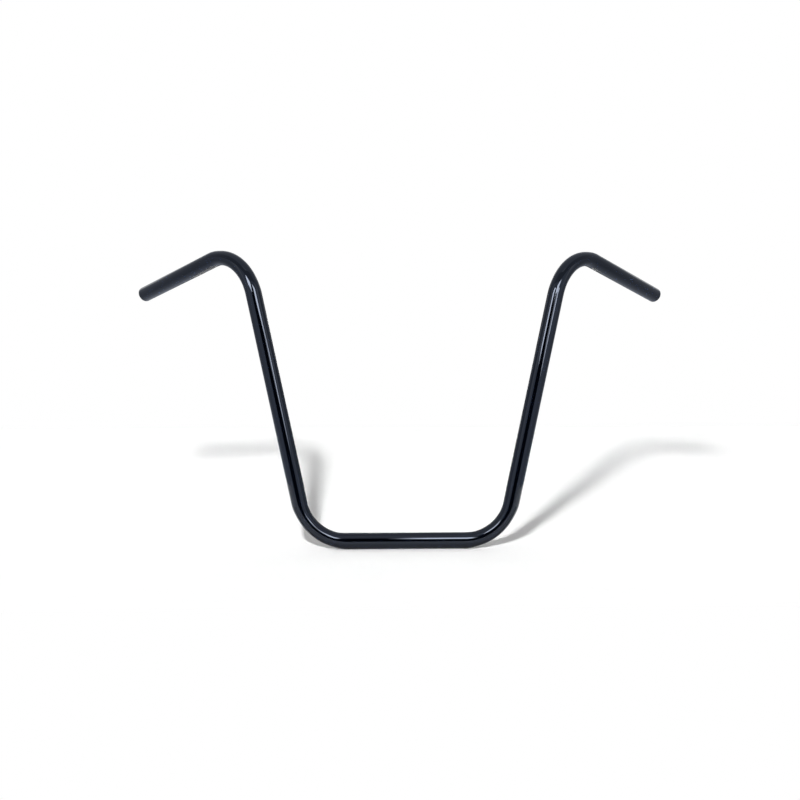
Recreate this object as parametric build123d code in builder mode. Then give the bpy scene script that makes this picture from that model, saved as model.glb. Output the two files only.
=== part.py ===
from build123d import *
from math import cos, radians, sin, tan
import os

# Ape hanger handlebar: one steel tube, bent four times and left open at both ends.
# The origin is the middle of the clamp section. +X runs along it, +Z is up and the grips sweep back to +Y.

# Sizes in millimetres and degrees
tube_diameter = 22.2  # the common 7/8 inch bar, for ordinary grips and controls
wall = 2.0
clamp_length = 160.0  # straight across the middle, where the riser clamps hold it
bend_radius = 68.0  # to the tube's centre line, one former for all four bends
upright_lean = 12.2  # outwards, from the vertical
upright_length = 292.0  # straight between the lower and the upper bend
grip_sweep = 42.0  # backwards, from the plane of the uprights
grip_droop = 11.0  # downwards, from the level
grip_length = 176.0  # straight at each end, for a grip and its controls
bend_flattening = 2.0  # diameter that a bend loses in its own plane
bend_swelling = 0.4  # diameter that it gains across that plane
flattening_run = 22.0  # along the centre line, from the round tube to the fully flattened one
sections_per_bend = 13
end_rounding = 1.0  # outer edge of each open end
bore_chamfer = 0.5  # inner edge of each open end

tube_radius = tube_diameter / 2

# The directions of the three straight runs of the +X half, and the two turns between them
along_clamp = Vector(1, 0, 0)
up_upright = Vector(sin(radians(upright_lean)), 0, cos(radians(upright_lean)))
level_reach = cos(radians(grip_droop))
out_along_grip = Vector(
    level_reach * cos(radians(grip_sweep)),
    level_reach * sin(radians(grip_sweep)),
    -sin(radians(grip_droop)),
)
lower_tangent = bend_radius * tan(radians(along_clamp.get_angle(up_upright)) / 2)
upper_tangent = bend_radius * tan(radians(up_upright.get_angle(out_along_grip)) / 2)

# The corners that the runs would meet at if the tube were not bent in a curve
lower_corner = along_clamp * (clamp_length / 2 + lower_tangent)
upper_corner = lower_corner + up_upright * (lower_tangent + upright_length + upper_tangent)
grip_end = upper_corner + out_along_grip * (upper_tangent + grip_length)

with BuildLine() as clamp_line:
    Line(along_clamp * (-clamp_length / 2), along_clamp * (clamp_length / 2))

with BuildLine() as centre_line:
    FilletPolyline((0, 0, 0), lower_corner, upper_corner, grip_end, radius=bend_radius)
lower_bend, upright, upper_bend, grip = centre_line.edges().sort_by(Axis.X)[1:]


def flattened_share(distance_into_bend):
    """How much of the full flattening a bend has, rising smoothly from 0 at its end to 1."""
    rise = min(distance_into_bend / flattening_run, 1)
    return rise * rise * (3 - 2 * rise)


def add_run(run, inset, mode):
    """A straight run of round tube, its radius less by the inset."""
    with BuildSketch(Plane(run @ 0, z_dir=run % 0)) as round_section:
        Circle(tube_radius - inset)
    extrude(round_section.sketch, amount=run.length, mode=mode)


def add_bend(bend, inset, mode):
    """A bend whose section flattens from round to oval and back, its radii less by the inset."""
    across = (bend % 0).cross(bend % 1)
    sections = []
    for i in range(sections_per_bend):
        share = i / (sections_per_bend - 1)
        flattened = flattened_share(min(share, 1 - share) * bend.length)
        with BuildSketch(Plane(bend @ share, x_dir=across, z_dir=bend % share)) as section:
            if flattened == 0:
                Circle(tube_radius - inset)
            else:
                Ellipse(
                    tube_radius + flattened * bend_swelling / 2 - inset,
                    tube_radius - flattened * bend_flattening / 2 - inset,
                )
        sections.append(section.sketch)
    sweep(sections, path=bend, multisection=True, mode=mode)


with BuildPart() as handlebar:
    for inset, mode in ((0, Mode.ADD), (wall, Mode.SUBTRACT)):
        add_bend(lower_bend, inset, mode)
        add_run(upright, inset, mode)
        add_bend(upper_bend, inset, mode)
        add_run(grip, inset, mode)
    end_face = handlebar.faces().filter_by(GeomType.PLANE).sort_by(Axis.X)[-1]
    fillet(end_face.outer_wire().edges(), end_rounding)
    end_face = handlebar.faces().filter_by(GeomType.PLANE).sort_by(Axis.X)[-1]
    chamfer(end_face.inner_wires()[0].edges(), bore_chamfer)
    mirror(about=Plane.YZ)
    add_run(clamp_line.edge(), 0, Mode.ADD)
    add_run(clamp_line.edge(), wall, Mode.SUBTRACT)

handlebar.part.label = "handlebar"
os.makedirs("parts", exist_ok=True)
export_step(handlebar.part, "parts/handlebar.step")
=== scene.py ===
from math import cos, pi, radians, sin, tan

import bmesh
import bpy
from mathutils import Matrix, Vector


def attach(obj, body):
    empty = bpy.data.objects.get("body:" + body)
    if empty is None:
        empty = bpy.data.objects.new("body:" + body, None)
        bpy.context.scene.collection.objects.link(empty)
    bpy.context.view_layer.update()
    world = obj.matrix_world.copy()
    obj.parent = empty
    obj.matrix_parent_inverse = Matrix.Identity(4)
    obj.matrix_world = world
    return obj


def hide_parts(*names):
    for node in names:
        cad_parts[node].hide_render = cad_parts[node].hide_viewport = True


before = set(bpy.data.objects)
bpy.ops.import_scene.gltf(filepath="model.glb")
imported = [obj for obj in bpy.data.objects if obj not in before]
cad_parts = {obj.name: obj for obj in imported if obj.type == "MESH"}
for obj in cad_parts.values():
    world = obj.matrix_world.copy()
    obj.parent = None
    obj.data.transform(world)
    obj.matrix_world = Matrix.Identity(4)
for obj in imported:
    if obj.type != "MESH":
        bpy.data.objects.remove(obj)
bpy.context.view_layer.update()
scene = bpy.context.scene
scene.view_settings.view_transform = "Standard"

MM = 0.001  # the bar's sizes are in millimetres, Blender's units are metres

# The bar's own sizes
TUBE_RADIUS = 11.1 * MM
WALL = 2.0 * MM
CLAMP_LENGTH = 160.0 * MM  # straight across the middle
BEND_RADIUS = 68.0 * MM  # to the tube's centre line
UPRIGHT_LEAN = radians(12.2)  # outwards, from the vertical
UPRIGHT_LENGTH = 292.0 * MM  # straight between the bends
GRIP_SWEEP = radians(42.0)  # backwards, from the plane of the uprights
GRIP_DROOP = radians(11.0)  # downwards, from the level
GRIP_LENGTH = 176.0 * MM  # straight at each end
BEND_FLATTENING = 2.0 * MM  # diameter that a bend loses in its own plane
BEND_SWELLING = 0.4 * MM  # diameter that it gains across that plane
FLATTENING_RUN = 22.0 * MM  # along a bend, from the round tube to the fully flattened one
END_ROUNDING = 1.0 * MM  # outer edge of each open end
BORE_CHAMFER = 0.5 * MM  # inner edge of each open end

# Directions of the +X half's straight runs, and the corners where they would meet if the tube had no curves
ALONG_CLAMP = Vector((1, 0, 0))
UP_UPRIGHT = Vector((sin(UPRIGHT_LEAN), 0, cos(UPRIGHT_LEAN)))
OUT_ALONG_GRIP = Vector((
    cos(GRIP_DROOP) * cos(GRIP_SWEEP),
    cos(GRIP_DROOP) * sin(GRIP_SWEEP),
    -sin(GRIP_DROOP),
))
LOWER_TANGENT = BEND_RADIUS * tan(ALONG_CLAMP.angle(UP_UPRIGHT) / 2)
UPPER_TANGENT = BEND_RADIUS * tan(UP_UPRIGHT.angle(OUT_ALONG_GRIP) / 2)
LOWER_CORNER = ALONG_CLAMP * (CLAMP_LENGTH / 2 + LOWER_TANGENT)
UPPER_CORNER = LOWER_CORNER + UP_UPRIGHT * (LOWER_TANGENT + UPRIGHT_LENGTH + UPPER_TANGENT)
GRIP_END = UPPER_CORNER + OUT_ALONG_GRIP * (UPPER_TANGENT + GRIP_LENGTH)

# Fineness of the mesh
AROUND = 96  # faces round the tube
ALONG_BEND = 48  # faces along each bend
ACROSS_ROUNDING = 5  # faces across the rounded edge of an end
MERGE_DISTANCE = 0.001 * MM

# Material slots of the tube
COAT = 0
BORE = 1


def colour(hex_code):
    """An sRGB hex colour as linear red, green, blue and alpha."""
    parts = [int(hex_code[i:i + 2], 16) / 255 for i in (1, 3, 5)]
    return [c / 12.92 if c <= 0.04045 else ((c + 0.055) / 1.055) ** 2.4 for c in parts] + [1.0]


def add(tree, kind, inputs=None, **settings):
    """Adds a node, gives it its settings, and links or fills its inputs."""
    node = tree.nodes.new(kind)
    for name, value in settings.items():
        setattr(node, name, value)
    for key, value in (inputs or {}).items():
        if isinstance(value, bpy.types.NodeSocket):
            tree.links.new(value, node.inputs[key])
        else:
            node.inputs[key].default_value = value
    return node


def new_material(name):
    """An empty material with its output node."""
    material = bpy.data.materials.new(name)
    material.use_nodes = True
    material.node_tree.nodes.clear()
    return material, material.node_tree, add(material.node_tree, "ShaderNodeOutputMaterial")


def gloss_black_coat():
    """Gloss black enamel baked on steel tube: a deep blue-black with clear, cool reflections,
    a faint orange peel, and wiped places that are a little less sharp."""
    peel_ripple = 2.6 * MM
    peel_height = 0.012 * MM
    wiped_place = 38 * MM
    colour_cloud = 60 * MM
    material, tree, output = new_material("gloss_black_enamel")
    place = add(tree, "ShaderNodeTexCoord").outputs["Object"]
    peel = add(tree, "ShaderNodeTexNoise", {"Vector": place, "Scale": 1 / peel_ripple, "Detail": 1.0})
    relief = add(tree, "ShaderNodeBump", {
        "Height": peel.outputs["Fac"],
        "Strength": 0.5,
        "Distance": peel_height,
    })
    wiping = add(tree, "ShaderNodeTexNoise", {"Vector": place, "Scale": 1 / wiped_place, "Detail": 3.0})
    roughness = add(tree, "ShaderNodeMapRange", {
        "Value": wiping.outputs["Fac"],
        "From Min": 0.35, "To Min": 0.035,
        "From Max": 0.7, "To Max": 0.07,
    })
    depth = add(tree, "ShaderNodeTexNoise", {"Vector": place, "Scale": 1 / colour_cloud, "Detail": 2.0})
    tint = add(tree, "ShaderNodeMix", {
        "Factor": depth.outputs["Fac"],
        "A": colour("#04070f"),
        "B": colour("#070c1a"),
    }, data_type="RGBA")
    shader = add(tree, "ShaderNodeBsdfPrincipled", {
        "Base Color": tint.outputs["Result"],
        "Roughness": roughness.outputs["Result"],
        "IOR": 1.54,
        "Specular Tint": colour("#dce8ff"),
        "Normal": relief.outputs["Normal"],
    })
    tree.links.new(shader.outputs["BSDF"], output.inputs["Surface"])
    return material


def drawn_steel_bore():
    """Bare drawn steel inside the tube: dull, mottled grey, darkened by overspray
    for the first few centimetres from each open end."""
    mottling = 4 * MM
    full_overspray = 6 * MM  # from the end of the tube
    last_overspray = 32 * MM
    material, tree, output = new_material("bare_drawn_steel")
    place = add(tree, "ShaderNodeTexCoord").outputs["Object"]
    one_side = add(tree, "ShaderNodeVectorMath", {0: place}, operation="ABSOLUTE").outputs["Vector"]
    reach = add(tree, "ShaderNodeVectorMath", {0: one_side, 1: OUT_ALONG_GRIP}, operation="DOT_PRODUCT")
    end = GRIP_END.dot(OUT_ALONG_GRIP)
    overspray = add(tree, "ShaderNodeMapRange", {
        "Value": reach.outputs["Value"],
        "From Min": end - last_overspray,
        "From Max": end - full_overspray,
    })
    mottle = add(tree, "ShaderNodeTexNoise", {"Vector": place, "Scale": 1 / mottling, "Detail": 4.0})
    steel = add(tree, "ShaderNodeMix", {
        "Factor": mottle.outputs["Fac"],
        "A": colour("#6f6c68"),
        "B": colour("#8f8c88"),
    }, data_type="RGBA")
    sprayed = add(tree, "ShaderNodeMix", {
        "Factor": overspray.outputs["Result"],
        "A": steel.outputs["Result"],
        "B": colour("#101117"),
    }, data_type="RGBA")
    bare = add(tree, "ShaderNodeMath", {0: 1.0, 1: overspray.outputs["Result"]}, operation="SUBTRACT")
    shader = add(tree, "ShaderNodeBsdfPrincipled", {
        "Base Color": sprayed.outputs["Result"],
        "Metallic": bare.outputs["Value"],
        "Roughness": 0.42,
    })
    tree.links.new(shader.outputs["BSDF"], output.inputs["Surface"])
    return material


def run_straight(bm, ring, direction, length):
    """Draws the open ring of edges out along a straight run, and gives the ring at its end."""
    drawn = bmesh.ops.extrude_edge_only(bm, edges=ring)["geom"]
    ends = [v for v in drawn if isinstance(v, bmesh.types.BMVert)]
    bmesh.ops.translate(bm, verts=ends, vec=direction * length)
    return [e for e in drawn if isinstance(e, bmesh.types.BMEdge) and all(v in ends for v in e.verts)]


def flattened_share(distance_into_bend):
    """How much of the full flattening a bend has, rising smoothly from 0 at its end to 1."""
    rise = min(distance_into_bend / FLATTENING_RUN, 1)
    return rise * rise * (3 - 2 * rise)


def bend(bm, ring, start, heading, next_heading):
    """Turns the ring round the former from one heading to the next, and flattens the bend's sections.
    Gives the ring at the bend's end, and its middle."""
    axis = heading.cross(next_heading).normalized()
    centre = start + axis.cross(heading) * BEND_RADIUS
    turn = heading.angle(next_heading)
    sections = []
    for _ in range(ALONG_BEND):
        last = bmesh.ops.spin(
            bm, geom=ring, cent=centre, axis=axis, angle=turn / ALONG_BEND, steps=1)["geom_last"]
        ring = [e for e in last if isinstance(e, bmesh.types.BMEdge)]
        sections.append([v for v in last if isinstance(v, bmesh.types.BMVert)])
    for i, section in enumerate(sections[:-1], start=1):
        share = i / ALONG_BEND
        flattened = flattened_share(min(share, 1 - share) * turn * BEND_RADIUS)
        middle = centre + Matrix.Rotation(turn * share, 3, axis) @ (start - centre)
        inwards = (centre - middle).normalized()
        place = Matrix((inwards, axis, inwards.cross(axis))).transposed().to_4x4()
        place.translation = middle
        squeeze = Vector((
            1 - flattened * BEND_FLATTENING / (2 * TUBE_RADIUS),
            1 + flattened * BEND_SWELLING / (2 * TUBE_RADIUS),
            1,
        ))
        bmesh.ops.scale(bm, vec=squeeze, space=place.inverted(), verts=section)
    return ring, centre + Matrix.Rotation(turn, 3, axis) @ (start - centre)


def bent_tube():
    """The whole bar: one half drawn out from the middle of the clamp section, mirrored, and given its wall.
    The ends are rounded outside and chamfered inside."""
    bm = bmesh.new()
    bmesh.ops.create_circle(
        bm, segments=AROUND, radius=TUBE_RADIUS, matrix=Matrix.Rotation(pi / 2, 4, "Y"))
    ring = run_straight(bm, bm.edges[:], ALONG_CLAMP, CLAMP_LENGTH / 2)
    ring, place = bend(bm, ring, ALONG_CLAMP * CLAMP_LENGTH / 2, ALONG_CLAMP, UP_UPRIGHT)
    ring = run_straight(bm, ring, UP_UPRIGHT, UPRIGHT_LENGTH)
    ring, place = bend(bm, ring, place + UP_UPRIGHT * UPRIGHT_LENGTH, UP_UPRIGHT, OUT_ALONG_GRIP)
    run_straight(bm, ring, OUT_ALONG_GRIP, GRIP_LENGTH)
    half = bm.verts[:] + bm.edges[:] + bm.faces[:]
    bmesh.ops.mirror(bm, geom=half, axis="X", merge_dist=MERGE_DISTANCE)
    bmesh.ops.remove_doubles(bm, verts=bm.verts[:], dist=MERGE_DISTANCE)
    bmesh.ops.recalc_face_normals(bm, faces=bm.faces[:])
    outside = set(bm.faces)
    open_ends = [e for e in bm.edges if e.is_boundary]
    bmesh.ops.solidify(bm, geom=bm.faces[:], thickness=WALL)
    rims = {f for e in open_ends for f in e.link_faces} - outside
    inside = set(bm.faces) - outside - rims
    for face in bm.faces:
        face.smooth = True
        face.material_index = BORE if face in inside else COAT
    bore_mouths = {e for f in rims for e in f.edges if any(n in inside for n in e.link_faces)}
    bmesh.ops.bevel(
        bm, geom=open_ends, affect="EDGES", offset=END_ROUNDING,
        segments=ACROSS_ROUNDING, profile=0.5, material=-1)
    bmesh.ops.bevel(
        bm, geom=list(bore_mouths), affect="EDGES", offset=BORE_CHAMFER,
        segments=1, profile=0.5, material=-1)
    mesh = bpy.data.meshes.new("bent_tube")
    bm.to_mesh(mesh)
    bm.free()
    tube = bpy.data.objects.new("bent_tube", mesh)
    scene.collection.objects.link(tube)
    return tube


tube = bent_tube()
tube.data.materials.append(gloss_black_coat())
tube.data.materials.append(drawn_steel_bore())
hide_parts("handlebar")
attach(tube, "root")

# Studio. The bar stands on white paper, and all the rest is cards that only the coat's reflections show.
FLOOR = -TUBE_RADIUS
WHITE = "#ffffff"
COOL_WHITE = "#e8f0ff"
BLACK = "#000000"

# Tilts of a card
LYING = 0.0
STANDING = pi / 2
LEANING_IN = 3 * pi / 4


def card(name, material, centre, width, height, turn=0.0, tilt=STANDING, roll=0.0):
    """A flat studio card. It stands upright along X unless it is turned, tilted,
    or rolled in its own plane."""
    bm = bmesh.new()
    bmesh.ops.create_grid(bm, x_segments=1, y_segments=1, size=0.5)
    place = (
        Matrix.Translation(centre) @ Matrix.Rotation(turn, 4, "Z")
        @ Matrix.Rotation(tilt, 4, "X") @ Matrix.Rotation(roll, 4, "Z")
    )
    bmesh.ops.transform(bm, matrix=place @ Matrix.Diagonal((width, height, 1, 1)), verts=bm.verts[:])
    mesh = bpy.data.meshes.new(name)
    bm.to_mesh(mesh)
    bm.free()
    mesh.materials.append(material)
    obj = bpy.data.objects.new(name, mesh)
    scene.collection.objects.link(obj)
    return obj


def graded(tree, grades):
    """A level that changes evenly along a card. Each grade is an axis with two pairs of place and level,
    and the highest grade holds."""
    place = add(tree, "ShaderNodeSeparateXYZ", {
        "Vector": add(tree, "ShaderNodeTexCoord").outputs["Object"]})
    levels = []
    for axis, (start, start_level), (end, end_level) in grades:
        ramp = add(tree, "ShaderNodeMapRange", {
            "Value": place.outputs[axis],
            "From Min": start, "To Min": start_level,
            "From Max": end, "To Max": end_level,
        })
        levels.append(ramp.outputs["Result"])
    highest = levels[0]
    for level in levels[1:]:
        highest = add(tree, "ShaderNodeMath", {0: highest, 1: level}, operation="MAXIMUM").outputs["Value"]
    return highest


def gloss_card(name, light, level, **placing):
    """A card in its own light that shows in reflections only: neither in the picture nor in the light
    on the floor. Its level is one number, or a list of grades."""
    material, tree, output = new_material(name)
    strength = graded(tree, level) if isinstance(level, list) else level
    glow = add(tree, "ShaderNodeEmission", {"Color": colour(light), "Strength": strength})
    tree.links.new(glow.outputs["Emission"], output.inputs["Surface"])
    obj = card(name, material, **placing)
    obj.visible_camera = False
    obj.visible_diffuse = False
    obj.visible_shadow = False


def white_paper():
    """Matt white paper for the floor, which keeps the bar's shadow
    and runs out into plain white at its edges."""
    material, tree, output = new_material("white_paper")
    paper = add(tree, "ShaderNodeBsdfDiffuse", {"Color": colour("#f8f8f8")})
    white = add(tree, "ShaderNodeEmission", {"Color": colour(WHITE), "Strength": 1.0})
    fade = graded(tree, [
        ("X", (-5.8, 1.0), (-4.0, 0.0)),
        ("X", (4.0, 0.0), (5.8, 1.0)),
        ("Y", (-0.33, 1.0), (-0.16, 0.0)),
        ("Y", (4.0, 0.0), (5.8, 1.0)),
    ])
    surface = add(tree, "ShaderNodeMixShader", {
        0: fade, 1: paper.outputs["BSDF"], 2: white.outputs["Emission"]})
    tree.links.new(surface.outputs["Shader"], output.inputs["Surface"])
    return material


floor = card("floor", white_paper(), centre=(0, 2.825, FLOOR), width=12.0, height=6.35, tilt=LYING)

# A dark doorway round the camera, for the dark line along the tube, and grey walls and ceiling for its tone
gloss_card("doorway", BLACK, level=0.0, centre=(-0.085, -1.15, 0.275), width=1.09, height=1.75)
gloss_card(
    "front_wall", COOL_WHITE, level=[("Z", (1.0, 0.85), (2.6, 0.68))],
    centre=(0, -1.6, 1.3), width=5.0, height=4.4)
gloss_card(
    "ceiling", COOL_WHITE, level=[("Y", (-0.35, 0.72), (0.35, 0.45))],
    centre=(0, 0.575, 1.22), width=3.4, height=1.85, tilt=LYING)
for name, side, foot_level, wall_level in (("right_side", 1, 0.66, 0.37), ("left_side", -1, 0.85, 0.44)):
    gloss_card(
        name, COOL_WHITE,
        level=[("Z", (0.0, foot_level), (0.2, wall_level)), ("Y", (-0.35, 0.85), (0.1, wall_level))],
        centre=(side * 1.065, 0.45, 0.605), width=1.6, height=1.74, turn=side * pi / 2, tilt=LEANING_IN)

# Two softboxes and a reflector in front of the bar, above the camera, for the lines of light
gloss_card(
    "right_softbox", WHITE, level=[("X", (0.01, 0.8), (0.085, 13.0))],
    centre=(0.1925, -0.89, 0.765), width=0.395, height=0.45)
gloss_card(
    "right_reflector", WHITE, level=[("X", (0.35, 2.5), (0.56, 13.0))],
    centre=(0.43, -0.90, 0.485), width=0.37, height=0.38, roll=radians(-28))
gloss_card(
    "left_softbox", WHITE, level=[("Z", (0.40, 9.0), (0.80, 15.0))],
    centre=(-0.41, -0.80, 0.75), width=0.28, height=0.49, turn=radians(-25), roll=radians(-25))

# A dark flag behind the bar, and panels that keep the softboxes off the grips and bends in views from behind
gloss_card(
    "back_flag", COOL_WHITE,
    level=[("X", (-1.1, 0.42), (-0.45, 0.03)), ("X", (0.45, 0.03), (1.1, 0.42))],
    centre=(0, 1.5, 0.5), width=2.4, height=1.02)
for side in (-1, 1):
    gloss_card(
        "grip_panel", COOL_WHITE, level=0.4,
        centre=(side * 0.313, 0.008, 0.46), width=0.33, height=0.10, turn=side * GRIP_SWEEP)
    gloss_card(
        "bend_panel", COOL_WHITE, level=0.4,
        centre=(side * 0.165, -0.06, 0.475), width=0.12, height=0.10, turn=-side * radians(45))

# Strips on the floor and the flag, for the lines of light in views from behind
gloss_card(
    "floor_strip", WHITE, level=9.0,
    centre=(0, 0.85, FLOOR + 4 * MM), width=0.14, height=1.2, tilt=LYING)
gloss_card("back_strip", WHITE, level=5.0, centre=(-0.20, 1.49, 0.25), width=0.12, height=0.52)

# The floor's shade under the clamp section, as its underside shows it
gloss_card(
    "floor_under_bar", WHITE, level=[("Y", (-0.026, 0.96), (-0.005, 0.25))],
    centre=(0, -0.044, FLOOR + 0.3 * MM), width=0.60, height=0.112, tilt=LYING)

# World: white where the camera, gloss or glass sees it. Surfaces are lit plainly by it, and more from low
# down at the back, as by a lit backdrop, which gives the floor its soft dark line along the bar's front.
PLAIN_LEVEL = 0.275
BACKDROP_LEVEL = 3.5  # at the horizon, straight behind the bar
BACKDROP_FADE = 2.0  # the power with which it fades upwards
world = bpy.data.worlds.new("white_surroundings")
scene.world = world
world.use_nodes = True
tree = world.node_tree
tree.nodes.clear()
heading = add(tree, "ShaderNodeSeparateXYZ", {
    "Vector": add(tree, "ShaderNodeTexCoord").outputs["Generated"]})
backwards = add(tree, "ShaderNodeMapRange", {"Value": heading.outputs["Y"], "To Max": BACKDROP_LEVEL})
below_zenith = add(tree, "ShaderNodeMath", {0: 1.0, 1: heading.outputs["Z"]}, operation="SUBTRACT")
lowness = add(tree, "ShaderNodeMath", {
    0: below_zenith.outputs["Value"], 1: BACKDROP_FADE}, operation="POWER")
backdrop = add(tree, "ShaderNodeMath", {
    0: backwards.outputs["Result"], 1: lowness.outputs["Value"], 2: PLAIN_LEVEL}, operation="MULTIPLY_ADD")
path = add(tree, "ShaderNodeLightPath")
in_picture = add(tree, "ShaderNodeMath", {
    0: path.outputs["Is Camera Ray"], 1: path.outputs["Is Glossy Ray"]}, operation="ADD")
seen = add(tree, "ShaderNodeMath", {
    0: in_picture.outputs["Value"], 1: path.outputs["Is Transmission Ray"]}, operation="ADD", use_clamp=True)
level = add(tree, "ShaderNodeMix", {
    "Factor": seen.outputs["Value"], "A": backdrop.outputs["Value"], "B": 1.0})
glow = add(tree, "ShaderNodeBackground", {"Color": colour(WHITE), "Strength": level.outputs["Result"]})
add(tree, "ShaderNodeOutputWorld", {"Surface": glow.outputs["Background"]})

# A row of small soft lamps above the camera casts the bar's shadow. They light only the floor,
# and as brightly far away as near.
LAMPS = 5
LAMP_RADIUS = 0.030
LAMPS_ENERGY = 26.0  # of all together
FIRST_LAMP = Vector((-0.193, -1.074, 0.618))
LAST_LAMP = Vector((-0.169, -1.179, 0.542))
lit_floor = bpy.data.collections.new("lit_by_shadow_lamps")
lit_floor.objects.link(floor)
for i in range(LAMPS):
    lamp = bpy.data.lights.new("shadow_lamp", "POINT")
    lamp.energy = LAMPS_ENERGY / LAMPS
    lamp.shadow_soft_size = LAMP_RADIUS
    lamp.use_nodes = True
    tree = lamp.node_tree
    heading = add(tree, "ShaderNodeSeparateXYZ", {
        "Vector": add(tree, "ShaderNodeTexCoord").outputs["Normal"]})
    downwards = add(tree, "ShaderNodeMath", {0: heading.outputs["Z"]}, operation="ABSOLUTE")
    evened = add(tree, "ShaderNodeMath", {0: 1.0, 1: downwards.outputs["Value"]}, operation="DIVIDE")
    falloff = add(tree, "ShaderNodeLightFalloff", {"Strength": evened.outputs["Value"]})
    tree.links.new(falloff.outputs["Constant"], tree.nodes["Emission"].inputs["Strength"])
    shadow_lamp = bpy.data.objects.new("shadow_lamp", lamp)
    shadow_lamp.location = FIRST_LAMP.lerp(LAST_LAMP, (i + 0.5) / LAMPS)
    shadow_lamp.visible_glossy = False
    scene.collection.objects.link(shadow_lamp)
    shadow_lamp.light_linking.receiver_collection = lit_floor

# Camera, at the photograph's place and angle
camera = bpy.data.objects.new("camera", bpy.data.cameras.new("camera"))
camera.data.sensor_width = 36.0
camera.data.lens = 36.536
camera.location = (-0.03896, -1.11955, 0.1892)
camera.rotation_euler = (radians(90.245), radians(0.13), radians(-1.595))
scene.collection.objects.link(camera)
scene.camera = camera
